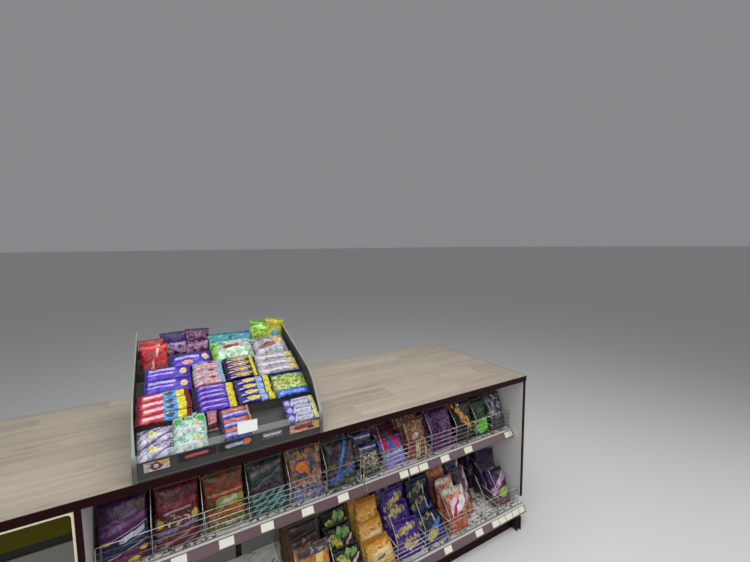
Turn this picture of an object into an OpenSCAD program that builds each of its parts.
// Shop sales counter with two bays of wire-fronted confectionery shelves, one open
// display bay and a stepped sweets stand on its worktop.
// X runs along the counter, the customer stands at -Y, Z is up and the floor is Z = 0.

/* [Counter] */
// Height of the finished worktop above the floor
counter_h = 900; // [840:10:1000]
// Depth of the worktop from its front edge to its back edge
counter_d = 830; // [800:10:1000]
// Thickness of the worktop
top_t = 30; // [22:1:40]
// Thickness of the plastic edging strip
edging_t = 3; // [2:0.5:4]
// Radius on the long corners of the worktop's edging
edging_r = 1.5; // [0.5:0.25:2]
// Thickness of the melamine boards
board_t = 18; // [15:1:25]
// How far the worktop passes the end panels
top_overhang = 6; // [2:1:20]

/* [Bays] */
// Clear width of each of the two shelf bays
shelf_bay_w = 1000; // [900:10:1250]
// Clear width of the open display bay
display_bay_w = 1000; // [700:10:1250]
// Gap between a shelf and the board or shelf beside it
shelf_gap = 2; // [1:0.5:6]

/* [Shelves] */
// Depth of the base shelf, from the rail's front to the back panel
base_d = 470; // [420:10:520]
// Depth of the upper shelf, from the rail's front to the back panel
upper_d = 390; // [300:2:410]
// Height of the base shelf's rail
base_h = 125; // [115:1:150]
// Height of the upper shelf's rail
upper_h = 561; // [500:1:600]
// How far the base rail stands in front of the worktop's edge
base_ahead = 6; // [2:1:12]
// How far the base rail passes over the front edge of the bay partition
rail_over = 15; // [4:1:15]
// Depth of the notch in a board's front edge behind a base rail
notch_d = 34; // [30:1:45]
// Height of the top of that notch
notch_top = 172; // [160:1:200]
// Height of a steel shelf's folded edges
deck_fold = 24; // [18:1:30]
// Thickness of the shelf steel
steel_t = 2; // [1.5:0.25:3]
// How far a shelf's top lies below its rail's top
deck_drop = 6; // [4:1:10]

/* [Ticket rails] */
// Height of a ticket rail, with its bright lip
rail_h = 39; // [34:1:46]
// How far a rail's foot leans forward of its lip
rail_forward = 23; // [14:1:28]
// Height of the bright lip along the top
rail_lip_h = 9; // [7:1:12]
// Depth of the rail's flat top, front to back
rail_t = 10; // [8:1:14]
// Depth of the channel that holds the tickets
ticket_slot = 2; // [1:0.5:3]

/* [Wire fences] */
// Height of a wire fence above the rail
fence_h = 118; // [80:1:140]
// Diameter of the wires
wire_d = 3.2; // [2.5:0.1:5]
// Number of flat sides on a wire
wire_sides = 8; // [8:4:12]
// Radius of the bends in the wire
bend_r = 9; // [7:1:14]
// Number of level wires inside the fence's frame
fence_wires = 4; // [2:1:6]
// Number of upright wires inside the fence's frame
fence_stays = 2; // [1:1:5]
// Gap between a fence's end and the end of its shelf
fence_gap = 7; // [4:1:14]
// How far a divider rises above the fence
divider_rise = 102; // [60:2:120]
// How far back a divider's sloping front runs
divider_slope = 85; // [50:5:120]

/* [Back frame] */
// Width of a slotted upright
upright_w = 40; // [30:1:50]
// Depth of a slotted upright
upright_d = 60; // [50:1:70]
// Thickness of the grey back panels
back_t = 5; // [3:0.5:8]
// How far a back panel laps over the face of an upright
back_lap = 6; // [3:1:10]
// Width of a base leg
leg_w = 30; // [24:1:38]
// Distance from an end upright's centre to the board beside it
end_upright_in = 46; // [36:1:60]
// How far the legs' feet reach in front of the worktop's edge
leg_ahead = 36; // [32:1:50]
// Thickness of the kick plate
plinth_t = 12; // [8:1:18]
// How far the kick plate stands behind the worktop's edge
plinth_setback = 4; // [2:1:40]

/* [Display bay] */
// Face width of the pale trim round the opening
trim_w = 7; // [5:1:14]
// Depth of the trim
trim_d = 14; // [10:1:24]
// Outer corner radius of the trim
trim_r = 19; // [14:1:40]
// Top of the grey lower lining
lining_low = 479; // [400:1:490]
// Bottom of the olive upper lining
lining_high = 516; // [500:2:560]
// Thickness of the linings
lining_t = 6; // [4:1:10]

/* [Staff side] */
// Height of the middle shelf's top
staff_shelf_h = 450; // [350:10:600]
// Height of the bottom board's top
staff_floor_h = 90; // [60:5:150]

/* [Sweets stand] */
// Width of the stand
stand_w = 646; // [560:2:760]
// Distance from the worktop's right end to the stand's right side
stand_from_right = 1246; // [1100:2:1500]
// How far the stand's front is behind the worktop's edge
stand_setback = 2; // [2:1:20]
// Thickness of the stand's side sheets
side_t = 4; // [3:0.5:6]
// Thickness of the tray sheets
tray_t = 2; // [1.5:0.25:3]
// Height of the stand's front fascia
fascia_h = 66; // [50:1:70]
// Height at which the line of the trays' lips meets the stand's front
lip_line_h = 74; // [68:1:90]
// Front-to-front distance of the trays
tray_pitch = 128; // [115:1:135]
// Height from one tray to the next
tray_rise = 58; // [52:0.5:64]
// Height of a tray's front lip above its floor
tray_lip = 30; // [22:1:36]
// Slope of the tray floors
tray_slope = 21; // [12:1:22]
// Depth of the well behind the trays, which bags stand in
rear_well = 90; // [80:2:120]
// Height at which a side sheet's front edge turns back
rim_h = 88; // [80:1:110]
// Slope of the edge above that turn
rim_slope = 47; // [40:1:52]
// Slope of a side sheet's top edge at the back
crown_slope = 17; // [12:1:24]
// Radius of the tight bend low on a side sheet's front edge
knee_r = 25; // [15:5:40]
// Radius of the slow bend where a side sheet's top edge levels out
crown_r = 200; // [150:10:300]
// Distance from the stand's front to where that slow bend starts
crown_y = 90; // [70:5:140]
// Height of the rear tray's floor above the worktop
rear_floor_h = 222; // [190:1:230]
// Height of the clear strip along the fascia
strip_h = 26; // [15:1:35]

/* [Stock] */
// Space between a pack and its neighbours
pack_gap = 5; // [3:1:10]
// Widths of the bag columns on the upper shelf, left bay
upper_left_cols = [165, 165, 165, 165, 165, 161];
// Heights of those bags
upper_left_bags = [238, 234, 230, 236, 228, 220];
// Widths of the bag columns on the upper shelf, right bay
upper_right_cols = [120, 146, 146, 170, 147, 126, 131];
// Heights of those bags
upper_right_bags = [218, 202, 214, 224, 228, 218, 220];
// Widths of the bag columns on the base shelf, left bay, the first of them empty
base_left_cols = [669, 159, 157];
// Heights of those bags
base_left_bags = [0, 270, 276];
// Widths of the bag columns on the base shelf, right bay
base_right_cols = [146, 165, 160, 146, 112, 105, 152];
// Heights of those bags
base_right_bags = [262, 276, 268, 280, 274, 0, 284];
// Shares of the tray's width that the packs take on each tray, from the left
tray_cols = [
    [112, 148, 118, 124, 136],
    [106, 78, 156, 146, 152],
    [196, 124, 130, 188],
    [116, 168, 178, 176]
];
// Thickness of those packs, 0 where the place is empty
tray_packs = [
    [36, 52, 34, 0, 36],
    [48, 48, 46, 46, 42],
    [48, 46, 50, 44],
    [0, 46, 52, 46]
];
// Shares of the width that the bags in the rear tray take, the first place being empty
rear_cols = [93, 96, 98, 100, 98, 75, 78];
// Height of those bags
rear_bag_h = [0, 152, 148, 118, 122, 140, 156];
// Height of the bag that stands at the left end of the last tray
tray_bag_h = 128; // [100:2:140]
// Depth of those bags, front to back
rear_bag_d = 60; // [40:2:80]

/* [Hidden] */

maroon = "#3d0f18";
melamine = "#e8e6e0";
steel_grey = "#8f8d88";
dark_steel = "#3c3a38";
$fn = 32;

// Places along the counter
shelf_bays = 2;
counter_w = shelf_bays * shelf_bay_w + display_bay_w + 3 * board_t + 2 * top_overhang;
overall_d = counter_d + leg_ahead;
right_in = counter_w / 2 - top_overhang - board_t;
joint_x = right_in - shelf_bay_w;
partition_in = joint_x - shelf_bay_w;
display_right = partition_in - board_t;
display_left = display_right - display_bay_w;

// Places from front to back
front_y = leg_ahead - overall_d / 2;
back_y = front_y + counter_d;
board_front = front_y;
board_back = back_y - 16;
base_front = front_y - base_ahead;
shelf_back = base_front + base_d;
upper_front = shelf_back - upper_d;
upright_front = shelf_back + back_t;
upright_back = upright_front + upright_d;

// Heights
top_under = counter_h - top_t;
base_deck_z = base_h - deck_drop;
upper_deck_z = upper_h - deck_drop;
leg_h = base_deck_z - deck_fold;
display_floor_z = leg_h + board_t;

// The stand's places
stand_right = counter_w / 2 - stand_from_right;
stand_left = stand_right - stand_w;
stand_front = front_y + stand_setback;
fascia_bead = 5;
trays = len(tray_packs);
tray_w = stand_w - 2 * side_t;
floor_run = tray_pitch - 2 * tray_t;
floor_rise = floor_run * tan(tray_slope);
stand_d = trays * tray_pitch + rear_well;
rear_lip_z = lip_line_h + (trays - 1) * tray_rise - tray_lip + floor_rise + 4;
rear_top_z = rear_lip_z + 16;

// Uprights stand at both ends of each shelf bay and in its middle
upright_xs = [
    partition_in + end_upright_in, partition_in + shelf_bay_w / 2, joint_x,
    joint_x + shelf_bay_w / 2, right_in - end_upright_in
];
leg_xs = [upright_xs[0], upright_xs[2], upright_xs[4]];

// Shelf brackets hook into slots that run in two rows down each upright
slot_x = upright_w / 5;
slot_w = 4;
slot_h = 30;
slot_pitch = 150;
slot_deep = 12;
hook_z = upper_deck_z - deck_fold - 36;

function unit(v) = v / norm(v);
function total(v, n) = n == 0 ? 0 : v[n - 1] + total(v, n - 1);

// Angle by which a flat path turns at its point i, left positive
function turn(p, i) =
    let (a = unit(p[i] - p[i - 1]), b = unit(p[i + 1] - p[i]))
    atan2(a[0] * b[1] - a[1] * b[0], a * b);
// Length that the bend takes from each of the two straights that meet at point i
function trim(p, i, r) =
    (i == 0 || i == len(p) - 1) ? 0 : r * tan(abs(turn(p, i)) / 2);

// Points of an arc about c, from angle a0 to a1
function arc(c, r, a0, a1, steps = 8) =
    [for (k = [0 : steps]) let (a = a0 + (a1 - a0) * k / steps) c + r * [cos(a), sin(a)]];

// A board between two corners
module board(x0, x1, y0, y1, z0, z1) {
    translate([x0, y0, z0]) cube([x1 - x0, y1 - y0, z1 - z0]);
}

// A profile drawn as [y, z], carried along X from x0 to x1
module along_x(x0, x1) {
    translate([x0, 0, 0]) rotate([90, 0, 90]) linear_extrude(x1 - x0) children();
}

// A straight length of wire along +Z
module straight_wire(length) {
    cylinder(h = length, d = wire_d, $fn = wire_sides);
}

// Wire bent along a flat path in the XY plane
module bent_wire(p) {
    for (i = [0 : len(p) - 2])
        let (
            u = unit(p[i + 1] - p[i]),
            a = p[i] + u * trim(p, i, bend_r),
            b = p[i + 1] - u * trim(p, i + 1, bend_r)
        )
        translate([a[0], a[1], 0]) rotate([0, 90, atan2(u[1], u[0])])
            straight_wire(norm(b - a));
    for (i = [1 : len(p) - 2])
        let (
            bend = turn(p, i),
            u = unit(p[i] - p[i - 1]),
            n = sign(bend) * [-u[1], u[0]],
            c = p[i] - u * trim(p, i, bend_r) + n * bend_r,
            start = atan2(-n[1], -n[0])
        )
        translate([c[0], c[1], 0]) rotate([0, 0, start + min(bend, 0)])
            rotate_extrude(angle = abs(bend))
                translate([bend_r, 0]) circle(d = wire_d, $fn = wire_sides);
}

// Worktop and its edging

module worktop() {
    color("#b9ab98")
    board(-counter_w / 2 + edging_t, counter_w / 2 - edging_t,
        front_y + edging_t, back_y - edging_t, top_under, counter_h);
}

// Section of a long edging, its outer corners rounded, the outer face at Y = 0
module edging_section() {
    polygon(concat(
        [[edging_t, top_under]],
        arc([edging_r, top_under + edging_r], edging_r, 270, 180, 4),
        arc([edging_r, counter_h - edging_r], edging_r, 180, 90, 4),
        [[edging_t, counter_h]]
    ));
}

module long_edgings() {
    color(maroon) {
        translate([0, front_y, 0]) along_x(-counter_w / 2, counter_w / 2) edging_section();
        translate([0, back_y, 0]) mirror([0, 1, 0])
            along_x(-counter_w / 2, counter_w / 2) edging_section();
    }
}

module end_edgings() {
    color(maroon) for (side = [0, 1]) mirror([side, 0, 0])
        board(-counter_w / 2, -counter_w / 2 + edging_t,
            front_y + edging_t, back_y - edging_t, top_under, counter_h);
}

// Boards that carry the worktop

module upright_board(x0, y0) {
    color(melamine) board(x0, x0 + board_t, y0, board_back, 0, top_under);
}

// Its front edge is notched at the foot, where the base rail passes
module notched_board(x0) {
    difference() {
        upright_board(x0, board_front + edging_t);
        color(melamine) board(x0 - 1, x0 + board_t + 1, board_front, board_front + notch_d,
            -1, notch_top);
    }
}

module left_end_panel() upright_board(display_left - board_t, board_front + edging_t);
module bay_partition() notched_board(display_right);
module right_end_panel() notched_board(right_in);
module support_panel() upright_board(joint_x - board_t / 2, upright_back);

module board_edgings() {
    color(maroon) for (x = [display_left - board_t, display_right, right_in])
        board(x, x + board_t, board_front, board_front + edging_t,
            x > display_left ? notch_top : 0, top_under);
}

// Kick plates stand between the legs, and across the display bay
module kick_plates() {
    y = front_y + plinth_setback;
    color(maroon) {
        board(display_left, display_right, y, y + plinth_t, 0, leg_h);
        for (i = [0 : 1])
            board(leg_xs[i] + leg_w / 2, leg_xs[i + 1] - leg_w / 2, y, y + plinth_t, 0, leg_h);
    }
}

// Steel shelving

// Each base leg runs under the deck and out below the rail, standing on a pad at both
// ends. Its front is an open channel with two thin flanges.
module base_legs() {
    pad_h = 12;
    pad_d = 60;
    flange_t = 3;
    channel_d = 12;
    leg_front = front_y - leg_ahead;
    toe_h = base_h - rail_h - 2;
    deck_front = base_front + rail_t;
    color(dark_steel) for (x = leg_xs) difference() {
        along_x(x - leg_w / 2, x + leg_w / 2) polygon([
            [leg_front, 0], [leg_front, toe_h], [deck_front, toe_h], [deck_front, leg_h],
            [upright_back, leg_h], [upright_back, 0], [upright_back - pad_d, 0],
            [upright_back - pad_d, pad_h], [leg_front + pad_d, pad_h], [leg_front + pad_d, 0]
        ]);
        board(x - leg_w / 2 + flange_t, x + leg_w / 2 - flange_t, leg_front - 1,
            leg_front + channel_d, -1, toe_h - flange_t);
    }
}

// Posts with two rows of slots down the face
module slotted_uprights() {
    below = floor((hook_z - base_h) / slot_pitch);
    above = floor((top_under - slot_h - hook_z) / slot_pitch);
    color(dark_steel) for (x = upright_xs) difference() {
        board(x - upright_w / 2, x + upright_w / 2, upright_front, upright_back, leg_h, top_under);
        for (i = [-below : above], s = [-1, 1])
            translate([x + s * slot_x - slot_w / 2, upright_front - 1, hook_z + i * slot_pitch])
                cube([slot_w, slot_deep + 1, slot_h]);
    }
}

// One grey sheet between each pair of uprights, lapping over their faces
module back_panels() {
    color(steel_grey) for (i = [0 : len(upright_xs) - 2]) {
        left = upright_xs[i] + upright_w / 2 - back_lap;
        right = upright_xs[i + 1] - upright_w / 2 + back_lap;
        board(left, right, shelf_back, upright_front, base_deck_z + 1, top_under - 1);
    }
}

// Section of a steel shelf: a flat top with both long edges folded down and in
module deck_section(y0, y1, z) {
    hem = 12;
    difference() {
        translate([y0, z - deck_fold]) square([y1 - y0, deck_fold]);
        translate([y0 + steel_t, z - deck_fold + steel_t])
            square([y1 - y0 - 2 * steel_t, deck_fold - 2 * steel_t]);
        translate([y0 + hem, z - deck_fold - 1]) square([y1 - y0 - 2 * hem, steel_t + 2]);
    }
}

// Places its child in each of the two shelf bays
module in_bays() {
    for (x = [partition_in, joint_x]) translate([x, 0, 0]) children();
}

// The base decks' front strips run on through the notches in the boards beside them
module base_decks() {
    front = base_front + rail_t;
    strip = [front, board_front + notch_d - 2];
    color("#c9c7bf") {
        in_bays() along_x(shelf_gap, shelf_bay_w - shelf_gap)
            deck_section(front, shelf_back - 0.3, base_deck_z);
        board(partition_in - rail_over, partition_in + shelf_gap, strip[0], strip[1],
            base_deck_z - deck_fold, base_deck_z);
        board(right_in - shelf_gap, counter_w / 2, strip[0], strip[1],
            base_deck_z - deck_fold, base_deck_z);
    }
}

module upper_decks() {
    color("#c9c7bf") in_bays() along_x(shelf_gap, shelf_bay_w - shelf_gap)
        deck_section(upper_front + rail_t, shelf_back - 0.3, upper_deck_z);
}

// Tapered arms under each end of the upper decks, with a hook in an upright's slot
module shelf_brackets() {
    arm_t = 3;
    arm_back = 62;
    arm_front = 14;
    hook = slot_deep - 3;
    play = 3;
    z = upper_deck_z - deck_fold;
    front = upper_front + rail_t + 20;
    color(dark_steel) for (x = [
        upright_xs[0] + slot_x, joint_x - slot_x, joint_x + slot_x, upright_xs[4] - slot_x
    ]) along_x(x - arm_t / 2, x + arm_t / 2) polygon([
        [front, z], [front, z - arm_front], [shelf_back - 40, z - arm_back],
        [upright_front, z - arm_back], [upright_front, hook_z + play],
        [upright_front + hook, hook_z + play], [upright_front + hook, hook_z + slot_h - play],
        [upright_front, hook_z + slot_h - play], [upright_front, z]
    ]);
}

// A point of the ticket rail's section: s runs down its leaning face, t goes into it
function on_face(s, t) =
    let (lean = atan(rail_forward / rail_h))
    [t * cos(lean) - s * sin(lean), -s * cos(lean) - t * sin(lean)];

// Section of a ticket rail: a bright lip, then a leaning face with a channel for tickets
module rail_section(y0, z1) {
    face = norm([rail_forward, rail_h]);
    wall = 5;
    curl = 4;
    back_h = 18;
    translate([y0, z1]) polygon([
        [rail_t, 0], [ticket_slot, 0], on_face(2, 0), on_face(rail_lip_h, 0),
        on_face(rail_lip_h, ticket_slot), on_face(face - curl, ticket_slot),
        on_face(face - curl, 0), on_face(face - 1, 0), on_face(face, 1),
        on_face(face - 2, wall), [rail_t, -back_h]
    ]);
}

// The base rails run over the front edges of the partition and the end panel
module base_ticket_rails() {
    color("#7d5f62") {
        along_x(partition_in - rail_over, joint_x - shelf_gap) rail_section(base_front, base_h);
        along_x(joint_x + shelf_gap, counter_w / 2) rail_section(base_front, base_h);
    }
}

module upper_ticket_rails() {
    color("#7d5f62") in_bays() along_x(shelf_gap, shelf_bay_w - shelf_gap)
        rail_section(upper_front, upper_h);
}

// Wire fences and dividers

// A frame bent from one wire, with level wires and uprights welded across it
module wire_fence(w) {
    r = wire_d / 2;
    pitch = (fence_h - wire_d) / (fence_wires + 1);
    right = w - r;
    top = fence_h - r;
    rotate([90, 0, 0]) {
        bent_wire([[w / 2, r], [right, r], [right, top], [r, top], [r, r], [w / 2, r]]);
        for (i = [1 : fence_wires])
            translate([r, r + i * pitch, 0]) rotate([0, 90, 0]) straight_wire(w - wire_d);
        for (i = [1 : fence_stays])
            translate([w * i / (fence_stays + 1), r, -r]) rotate([-90, 0, 0])
                straight_wire(fence_h - wire_d);
    }
}

// The fence stands in the deck's front edge, just behind the rail
module shelf_fences(y0, deck_z) {
    color("#d8d8d6") in_bays()
        translate([fence_gap, y0 + rail_t + wire_d, deck_z])
            wire_fence(shelf_bay_w - 2 * fence_gap);
}

module base_fences() shelf_fences(base_front, base_deck_z);
module upper_fences() shelf_fences(upper_front, upper_deck_z);

// A closed loop of wire: upright at the fence, sloping back, level, and down behind
module divider(d) {
    r = wire_d / 2;
    level = fence_h + divider_rise;
    path = [
        [d / 2, r], [r, r], [r, fence_h], [divider_slope, level - r],
        [d - r, level - r], [d - r, r], [d / 2, r]
    ];
    rotate([90, 0, 90]) {
        bent_wire(path);
        for (z = [fence_h * 0.4, fence_h * 0.8])
            translate([r, z, 0]) rotate([0, 90, 0]) straight_wire(d - wire_d);
    }
}

// A divider stands on each line between two columns that both fit in the bay
module shelf_dividers(x0, y0, deck_z, cols, shelf_d) {
    loop_d = shelf_d - rail_t - 3 * wire_d - 12;
    for (i = [1 : len(cols) - 1]) if (total(cols, i + 1) <= shelf_bay_w - 2 * shelf_gap)
        translate([x0 + shelf_gap + total(cols, i), y0 + rail_t + 2.5 * wire_d, deck_z])
            divider(loop_d);
}

module base_dividers() {
    color("#dededa") {
        shelf_dividers(partition_in, base_front, base_deck_z, base_left_cols, base_d);
        shelf_dividers(joint_x, base_front, base_deck_z, base_right_cols, base_d);
    }
}

module upper_dividers() {
    color("#dededa") {
        shelf_dividers(partition_in, upper_front, upper_deck_z, upper_left_cols, upper_d);
        shelf_dividers(joint_x, upper_front, upper_deck_z, upper_right_cols, upper_d);
    }
}

// Open display bay

module rounded_outline(w, h, r) {
    polygon(concat(
        arc([r, r], r, 180, 270), arc([w - r, r], r, 270, 360),
        arc([w - r, h - r], r, 0, 90), arc([r, h - r], r, 90, 180)
    ));
}

module display_trim() {
    w = display_bay_w;
    h = top_under - display_floor_z;
    color("#d9d2b8") translate([display_left, board_front + edging_t + trim_d, display_floor_z])
        rotate([90, 0, 0]) linear_extrude(trim_d) difference() {
            square([w, h]);
            translate([trim_w, trim_w])
                rounded_outline(w - 2 * trim_w, h - 2 * trim_w, trim_r - trim_w);
        }
}

module display_floor() {
    color(melamine) board(display_left, display_right, board_front + edging_t,
        upright_front, leg_h, display_floor_z);
}

module display_back() {
    color(dark_steel) board(display_left, display_right, upright_front,
        upright_front + board_t, leg_h, top_under);
}

module display_lower_lining() {
    color(steel_grey) board(display_left, display_right, upright_front - lining_t,
        upright_front, display_floor_z, lining_low);
}

module display_upper_lining() {
    color("#6f6a2c") board(display_left, display_right, upright_front - lining_t,
        upright_front, lining_high, top_under);
}

// Staff side

// One board in each of the three bays, between the boards that stand on the floor
module staff_boards(z) {
    back = board_back - 10;
    color(melamine) {
        board(display_left, display_right, upright_front + board_t, back, z - board_t, z);
        board(partition_in, joint_x - board_t / 2, upright_back, back, z - board_t, z);
        board(joint_x + board_t / 2, right_in, upright_back, back, z - board_t, z);
    }
}

module staff_shelves() staff_boards(staff_shelf_h);
module staff_floors() staff_boards(staff_floor_h);

// Sweets stand

// Height of the lips' line above the worktop at the distance y behind the stand's front
function lip_line(y) = lip_line_h + tray_rise * y / tray_pitch;

// Outline of a side sheet as [y, z]: upright at the front, a tight bend, a steep edge,
// and a slow bend to a gentle slope up to the back
function side_outline() =
    let (
        knee_z = rim_h - knee_r * tan((90 - rim_slope) / 2),
        crown_z = rim_h + crown_y * tan(rim_slope),
        centre = [crown_y + crown_r * sin(rim_slope), crown_z - crown_r * cos(rim_slope)],
        last = centre + crown_r * [-sin(crown_slope), cos(crown_slope)]
    )
    concat(
        [[0, 0]],
        arc([knee_r, knee_z], knee_r, 180, 90 + rim_slope, 8),
        arc(centre, crown_r, 90 + rim_slope, 90 + crown_slope, 8),
        [
            [stand_d, last[1] + (stand_d - last[0]) * tan(crown_slope)],
            [stand_d, 0]
        ]
    );

module on_worktop() translate([0, stand_front, counter_h]) children();

module stand_sides() {
    color(steel_grey) on_worktop() for (x = [stand_left, stand_right - side_t])
        along_x(x, x + side_t) polygon(side_outline());
}

// The fascia is a folded front with a bead along its top and its foot
module stand_fascia() {
    bead = fascia_bead;
    color(steel_grey) on_worktop() along_x(stand_left + side_t, stand_right - side_t)
        polygon([
            [0, 0], [0, bead], [bead / 2, bead + 2], [bead / 2, fascia_h - bead - 2],
            [0, fascia_h - bead], [0, fascia_h], [bead, fascia_h], [bead, bead], [3 * bead, 0]
        ]);
}

// Section of tray n: its lip, its sloping floor and the riser up to the next tray's lip
module tray_section(n) {
    t = tray_t;
    y0 = n * tray_pitch + (n == 0 ? fascia_bead : 0);
    y1 = (n + 1) * tray_pitch - t;
    lip = n == 0 ? fascia_h : lip_line(n * tray_pitch);
    low = lip_line(n * tray_pitch) - tray_lip;
    high = low + (y1 - y0 - t) * tan(tray_slope);
    top = n == trays - 1 ? rear_lip_z - 1 : lip_line((n + 1) * tray_pitch) - tray_lip;
    polygon([
        [y0, low], [y0, lip], [y0 + t, lip], [y0 + t, low + t],
        [y1, high + t], [y1, top], [y1 + t, top], [y1 + t, high], [y0 + t, low]
    ]);
}

module tray(n) {
    color(steel_grey) on_worktop() along_x(stand_left + side_t, stand_right - side_t)
        tray_section(n);
}

module stand_tray_1() tray(0);
module stand_tray_2() tray(1);
module stand_tray_3() tray(2);
module stand_tray_4() tray(3);

// The rear tray is a level well that bags stand in
module stand_rear_tray() {
    t = tray_t;
    y0 = trays * tray_pitch;
    color(steel_grey) on_worktop() along_x(stand_left + side_t, stand_right - side_t) polygon([
        [y0, rear_floor_h], [y0, rear_lip_z], [y0 + t, rear_lip_z], [y0 + t, rear_floor_h + t],
        [stand_d - 2 * t, rear_floor_h + t], [stand_d - 2 * t, rear_top_z],
        [stand_d - t, rear_top_z], [stand_d - t, rear_floor_h]
    ]);
}

module stand_back() {
    color(steel_grey) on_worktop() board(stand_left + side_t, stand_right - side_t,
        stand_d - tray_t, stand_d, 0, rear_top_z);
}

// A clear strip stands on the fascia's top edge and keeps the front packs in
module stand_clear_strip() {
    strip_t = 2;
    color("#dfe6ea", 0.4) on_worktop() board(stand_left + side_t, stand_right - side_t,
        1, 1 + strip_t, fascia_h, fascia_h + strip_h);
}

// Stock

// One column of upright bags, leaning back, as a single solid under its outer shape
module bag_column(w, depth, h) {
    lean = h * tan(14);
    crown = 16;
    along_x(0, w) polygon([
        [0, 0], [depth, 0], [depth, h - 2 * crown], [depth - crown, h - crown],
        [lean + crown, h], [lean, h - crown / 2]
    ]);
}

module bag_row(x0, y0, deck_z, cols, heights, depth) {
    r = wire_d;
    for (i = [0 : len(cols) - 1])
        if (heights[i] > 0 && total(cols, i + 1) <= shelf_bay_w - 2 * shelf_gap)
            translate([x0 + shelf_gap + total(cols, i) + pack_gap, y0 + rail_t + 4 * r, deck_z])
                bag_column(cols[i] - 2 * pack_gap, depth, heights[i]);
}

bag_depth_upper = upper_d - rail_t - 4 * wire_d - 40;
bag_depth_base = base_d - rail_t - 4 * wire_d - 90;

module bags_upper_left() {
    color("#7a2c6c")
    bag_row(partition_in, upper_front, upper_deck_z, upper_left_cols, upper_left_bags, bag_depth_upper);
}

module bags_upper_right() {
    color("#a8403a")
    bag_row(joint_x, upper_front, upper_deck_z, upper_right_cols, upper_right_bags, bag_depth_upper);
}

module bags_base_left() {
    color("#b86a2c")
    bag_row(partition_in, base_front, base_deck_z, base_left_cols, base_left_bags, bag_depth_base);
}

module bags_base_right() {
    color("#5a2c90")
    bag_row(joint_x, base_front, base_deck_z, base_right_cols, base_right_bags, bag_depth_base);
}

// Room in front of a pack's foot, so that the lean of its face clears the tray's lip
pack_foot = (tray_lip - tray_t) * tan(tray_slope) + 1;

// Longest pack that clears the riser behind it
pack_len = (floor_run - pack_foot - 9) / cos(tray_slope);

// Left end and width of the place i among shares of the tray's width
function place_x(cols, i) =
    stand_left + side_t + tray_w * total(cols, i) / total(cols, len(cols)) + pack_gap;
function place_w(cols, i) = tray_w * cols[i] / total(cols, len(cols)) - 2 * pack_gap;

// Packs lie on tray n's sloping floor, behind its lip
module tray_stock(n) {
    seat = 0.3;
    cols = tray_cols[n];
    y = n * tray_pitch + tray_t + (n == 0 ? fascia_bead : 0) + pack_foot;
    z = lip_line(n * tray_pitch) - tray_lip + tray_t + pack_foot * tan(tray_slope) + seat;
    on_worktop() for (i = [0 : len(cols) - 1]) if (tray_packs[n][i] > 0)
        translate([place_x(cols, i), y, z]) rotate([tray_slope, 0, 0])
            cube([place_w(cols, i), pack_len, tray_packs[n][i]]);
}

module packs_tray_1() color("#5a9c78") tray_stock(0);
module packs_tray_2() color("#6a3cb0") tray_stock(1);
module packs_tray_3() color("#7a4cc8") tray_stock(2);

// The last tray has a bag at its left end, which leans back over the sloping floor
module packs_tray_4() {
    n = trays - 1;
    y0 = n * tray_pitch + tray_t + 1;
    y1 = y0 + floor_run - tray_t - 4;
    z0 = lip_line(n * tray_pitch) - tray_lip + tray_t + 1;
    z1 = z0 + (y1 - y0) * tan(tray_slope);
    lean = tray_bag_h * tan(15);
    top_d = 30;
    color("#8a5cc0") {
        tray_stock(n);
        on_worktop() along_x(place_x(tray_cols[n], 0), place_x(tray_cols[n], 0) + place_w(tray_cols[n], 0))
            polygon([
                [y0, z0], [y1, z1], [y0 + lean + top_d, z0 + tray_bag_h],
                [y0 + lean, z0 + tray_bag_h]
            ]);
    }
}

// The rear bags lean back a little against the well's back
module bags_rear_tray() {
    lean = 8;
    y = stand_d - 3 * tray_t - rear_bag_d;
    z = rear_floor_h + tray_t;
    color("#c03838") on_worktop() for (i = [0 : len(rear_cols) - 1]) if (rear_bag_h[i] > 0) {
        x = place_x(rear_cols, i);
        h = rear_bag_h[i];
        along_x(x, x + place_w(rear_cols, i)) polygon([
            [y, z], [y + rear_bag_d, z], [y + rear_bag_d, z + h - lean],
            [y + rear_bag_d - 2 * lean, z + h], [y + rear_bag_d / 2, z + h - lean / 2],
            [y + lean, z + h - 4 * lean]
        ]);
    }
}

worktop();
long_edgings();
end_edgings();
left_end_panel();
bay_partition();
support_panel();
right_end_panel();
board_edgings();
kick_plates();
base_legs();
slotted_uprights();
back_panels();
base_decks();
upper_decks();
shelf_brackets();
base_ticket_rails();
upper_ticket_rails();
base_fences();
upper_fences();
base_dividers();
upper_dividers();
display_trim();
display_floor();
display_back();
display_lower_lining();
display_upper_lining();
staff_shelves();
staff_floors();
stand_sides();
stand_fascia();
stand_tray_1();
stand_tray_2();
stand_tray_3();
stand_tray_4();
stand_rear_tray();
stand_back();
stand_clear_strip();
bags_upper_left();
bags_upper_right();
bags_base_left();
bags_base_right();
packs_tray_1();
packs_tray_2();
packs_tray_3();
packs_tray_4();
bags_rear_tray();
